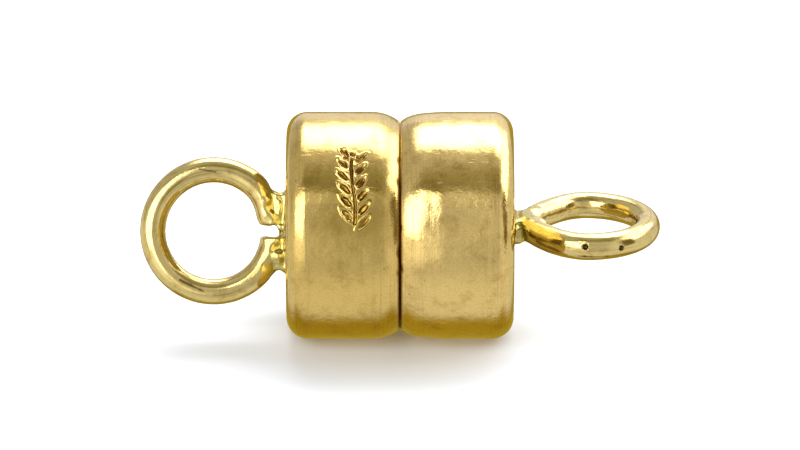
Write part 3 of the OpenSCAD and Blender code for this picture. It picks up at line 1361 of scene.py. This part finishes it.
floor_bm = bmesh.new()
bmesh.ops.create_grid(floor_bm, x_segments=1, y_segments=1, size=PAPER_HALF)
floor = make_object("floor", floor_bm, TO_METRES)
floor.visible_glossy = False
paper, tree, shader = new_material("uncoated white paper", {
    "Base Color": linear("#ECECEB"), "Metallic": 0, "Roughness": 0.9,
})
fibres = add(tree, "TexNoise", {
    "Vector": add(tree, "TexCoord", {}, out="Object"), "Scale": 1 / (FIBRE * METRES),
    "Detail": FIBRE_DETAIL,
})
relief = add(tree, "Bump", {
    "Strength": FIBRE_STRENGTH, "Distance": FIBRE_DEPTH * METRES, "Height": fibres,
})
tree.links.new(relief, shader.inputs["Normal"])
floor.data.materials.append(paper)

# %% [markdown]
# ## A tent of light
# Polished gold shows little of its own: nearly all that the eye sees on it is the room. Jewellery is
# photographed in a tent of white cloth, with windows of light for the highlights and dark cards for
# the contours. A cylinder that lies across the view mirrors the tent in bands, so the tent is first
# made of bands round the clasp's axis, and the windows and cards are laid over them. Angles round the
# axis start level in front of the clasp, rise over it, and fall behind it.

# %% The bands: an angle in degrees, a brightness and a tint
WHITE = (1, 1, 1)
OLIVE = (1, 0.96, 0.62)
AMBER = (1, 0.76, 0.08)
BROWN = (1, 0.8, 0.4)
LEMON = (0.95, 1, 1.12)
BANDS = (
    (-180, 0.5, AMBER), (-128, 0.48, AMBER), (-108, 0.46, AMBER), (-98, 0.5, AMBER), (-91, 0.6, OLIVE),
    (-85, 0.88, WHITE), (-78, 0.96, WHITE), (-50, 0.98, WHITE), (-38, 0.9, WHITE), (-30, 0.8, WHITE),
    (-23, 0.76, WHITE), (-19, 0.67, WHITE), (-6, 0.7, WHITE), (12, 0.76, WHITE), (30, 0.7, WHITE),
    (40, 0.68, WHITE), (46, 0.88, WHITE), (50, 0.8, WHITE), (56, 0.44, OLIVE), (60, 0.32, OLIVE),
    (64, 0.36, OLIVE), (74, 0.44, OLIVE), (84, 0.6, WHITE), (94, 0.84, WHITE), (105, 1.1, WHITE),
    (150, 1.3, WHITE), (166, 1.15, WHITE), (180, 0.95, WHITE),
)


def light_of(brightness, tint):
    return (*(brightness * channel for channel in tint), 1)


# %% A world whose light depends on the angle round the clasp's axis
world = bpy.data.worlds.new("tent")
bpy.context.scene.world = world
world.use_nodes = True
tree = world.node_tree
tree.nodes.clear()
direction = add(tree, "TexCoord", {}, out="Generated")
sideways, backward, upward = add(tree, "SeparateXYZ", {0: direction}).node.outputs
forward = add(tree, "Math", {"operation": "MULTIPLY", 0: backward, 1: -1})
angle = add(tree, "Math", {"operation": "ARCTAN2", 0: upward, 1: forward})
# A whole turn of the angle becomes a run from 0 to 1 on the ramp.
along_ramp = add(tree, "Math", {"operation": "MULTIPLY_ADD", 0: angle, 1: 1 / math.tau, 2: 0.5})
bands = add(tree, "ValToRGB", {0: along_ramp})
stops = bands.node.color_ramp.elements
while len(stops) > 1:
    stops.remove(stops[-1])
for number, (degrees, brightness, tint) in enumerate(BANDS):
    position = degrees / 360 + 0.5
    stop = stops.new(position) if number else stops[0]
    stop.position = position
    stop.color = light_of(brightness, tint)
print("bands of light:", len(stops))

# %% The tent's two ends, which are of one brightness
SIDE_LEVEL = 0.98
SIDE_STARTS = 0.45
SIDE_FULL = 0.7

to_side = add(tree, "MapRange", SOFTLY | {
    "Value": add(tree, "Math", {"operation": "ABSOLUTE", 0: sideways}),
    "From Min": SIDE_STARTS, "From Max": SIDE_FULL,
})
light = add(tree, "Mix", {
    "data_type": "RGBA", 0: to_side, 6: bands, 7: light_of(SIDE_LEVEL, WHITE),
}, out=2)

# %% [markdown]
# ## Windows and cards
# A window is a rectangle on the tent with soft edges, a card is the same with a low brightness. Each
# is placed by its azimuth, from the camera's side toward the plug, and its elevation. The brightest,
# above and behind, makes the broad highlight on top, with a dim one to its left. The one on the right
# makes the streaks on the rounded ends, and the two on the left light the rolled rims. The upper one
# of the two is cut off at the top and on the side toward the middle, where its mirror image would
# reach too far.

# %% A helper that lays a window over the tent
IN_FRONT = 0.01


def add_window(behind, azimuth, elevation, wide, high, soft, brightness, tint, cuts):
    turn = math.radians(azimuth)
    rise = math.radians(elevation)
    toward = Vector((math.sin(turn) * math.cos(rise), -math.cos(turn) * math.cos(rise), math.sin(rise)))
    across = Vector((math.cos(turn), math.sin(turn), 0))
    depth = add(tree, "VectorMath", {"operation": "DOT_PRODUCT", 0: direction, 1: toward}, out="Value")
    mask = add(tree, "Math", {"operation": "GREATER_THAN", 0: depth, 1: IN_FRONT})
    edges = []
    for axis, degrees in ((across, wide), (toward.cross(across), high)):
        run = add(tree, "VectorMath", {"operation": "DOT_PRODUCT", 0: direction, 1: axis}, out="Value")
        ratio = add(tree, "Math", {"operation": "DIVIDE", 0: run, 1: depth})
        off_middle = add(tree, "Math", {"operation": "ABSOLUTE", 0: ratio})
        edges.append((off_middle, math.tan(math.radians(degrees / 2)), soft))
    for measured, edge, softness in (*edges, *cuts):
        inside = add(tree, "MapRange", SOFTLY | {
            "Value": measured, "From Min": edge + softness, "From Max": edge - softness,
        })
        mask = add(tree, "Math", {"operation": "MULTIPLY", 0: mask, 1: inside})
    return add(tree, "Mix", {
        "data_type": "RGBA", 0: mask, 6: behind, 7: light_of(brightness, tint),
    }, out=2)


# %% The windows, and a dark card at the end
# Each row: azimuth, elevation, width and height in degrees, softness, brightness, tint and cuts. A
# cut is what is measured, the value where it cuts, and its softness.
LEFT_CUTS = ((angle, math.radians(54), math.radians(2)), (sideways, -0.13, 0.075))
WINDOWS = (
    (-125, 45, 84, 84, 0.2, 0.67, WHITE, ()),
    (166, 56, 44, 36, 0.17, 6, LEMON, ()),
    (113, 38, 62, 34, 0.12, 4, LEMON, ()),
    (-37, -4, 60, 36, 0.2, 1.45, WHITE, ()),
    (-40, 32, 50, 52, 0.1, 4, LEMON, LEFT_CUTS),
    (68, 13, 22, 40, 0.06, 0.26, BROWN, ()),
)

for window in WINDOWS:
    light = add_window(light, *window)
background = add(tree, "Background", {0: light})
add(tree, "OutputWorld", {0: background}, out=None)
bpy.context.scene.view_settings.view_transform = "Standard"
print("windows laid on the tent:", len(WINDOWS), "nodes in all:", len(tree.nodes))

# %% [markdown]
# ## The camera
# The clasp was seen from about 20 degrees above the table, from far enough away that both rings keep
# their shape. A long lens at that distance puts the clasp in the frame as the photographer did.

# %% A long lens, looking down a little
CAMERA_AWAY = 183
CAMERA_UP = math.radians(20)
LENS = 339.3

camera = bpy.data.objects.new("camera", bpy.data.cameras.new("camera"))
bpy.context.scene.collection.objects.link(camera)
camera.data.lens = LENS
target = CLASP_MIDDLE * METRES
back_off = Vector((0, -math.cos(CAMERA_UP), math.sin(CAMERA_UP))) * CAMERA_AWAY * METRES
camera.location = target + back_off
camera.rotation_euler = (-back_off).to_track_quat("-Z", "Y").to_euler()
bpy.context.scene.camera = camera
print("the camera is", round(back_off.length, 3), "metres from the clasp")
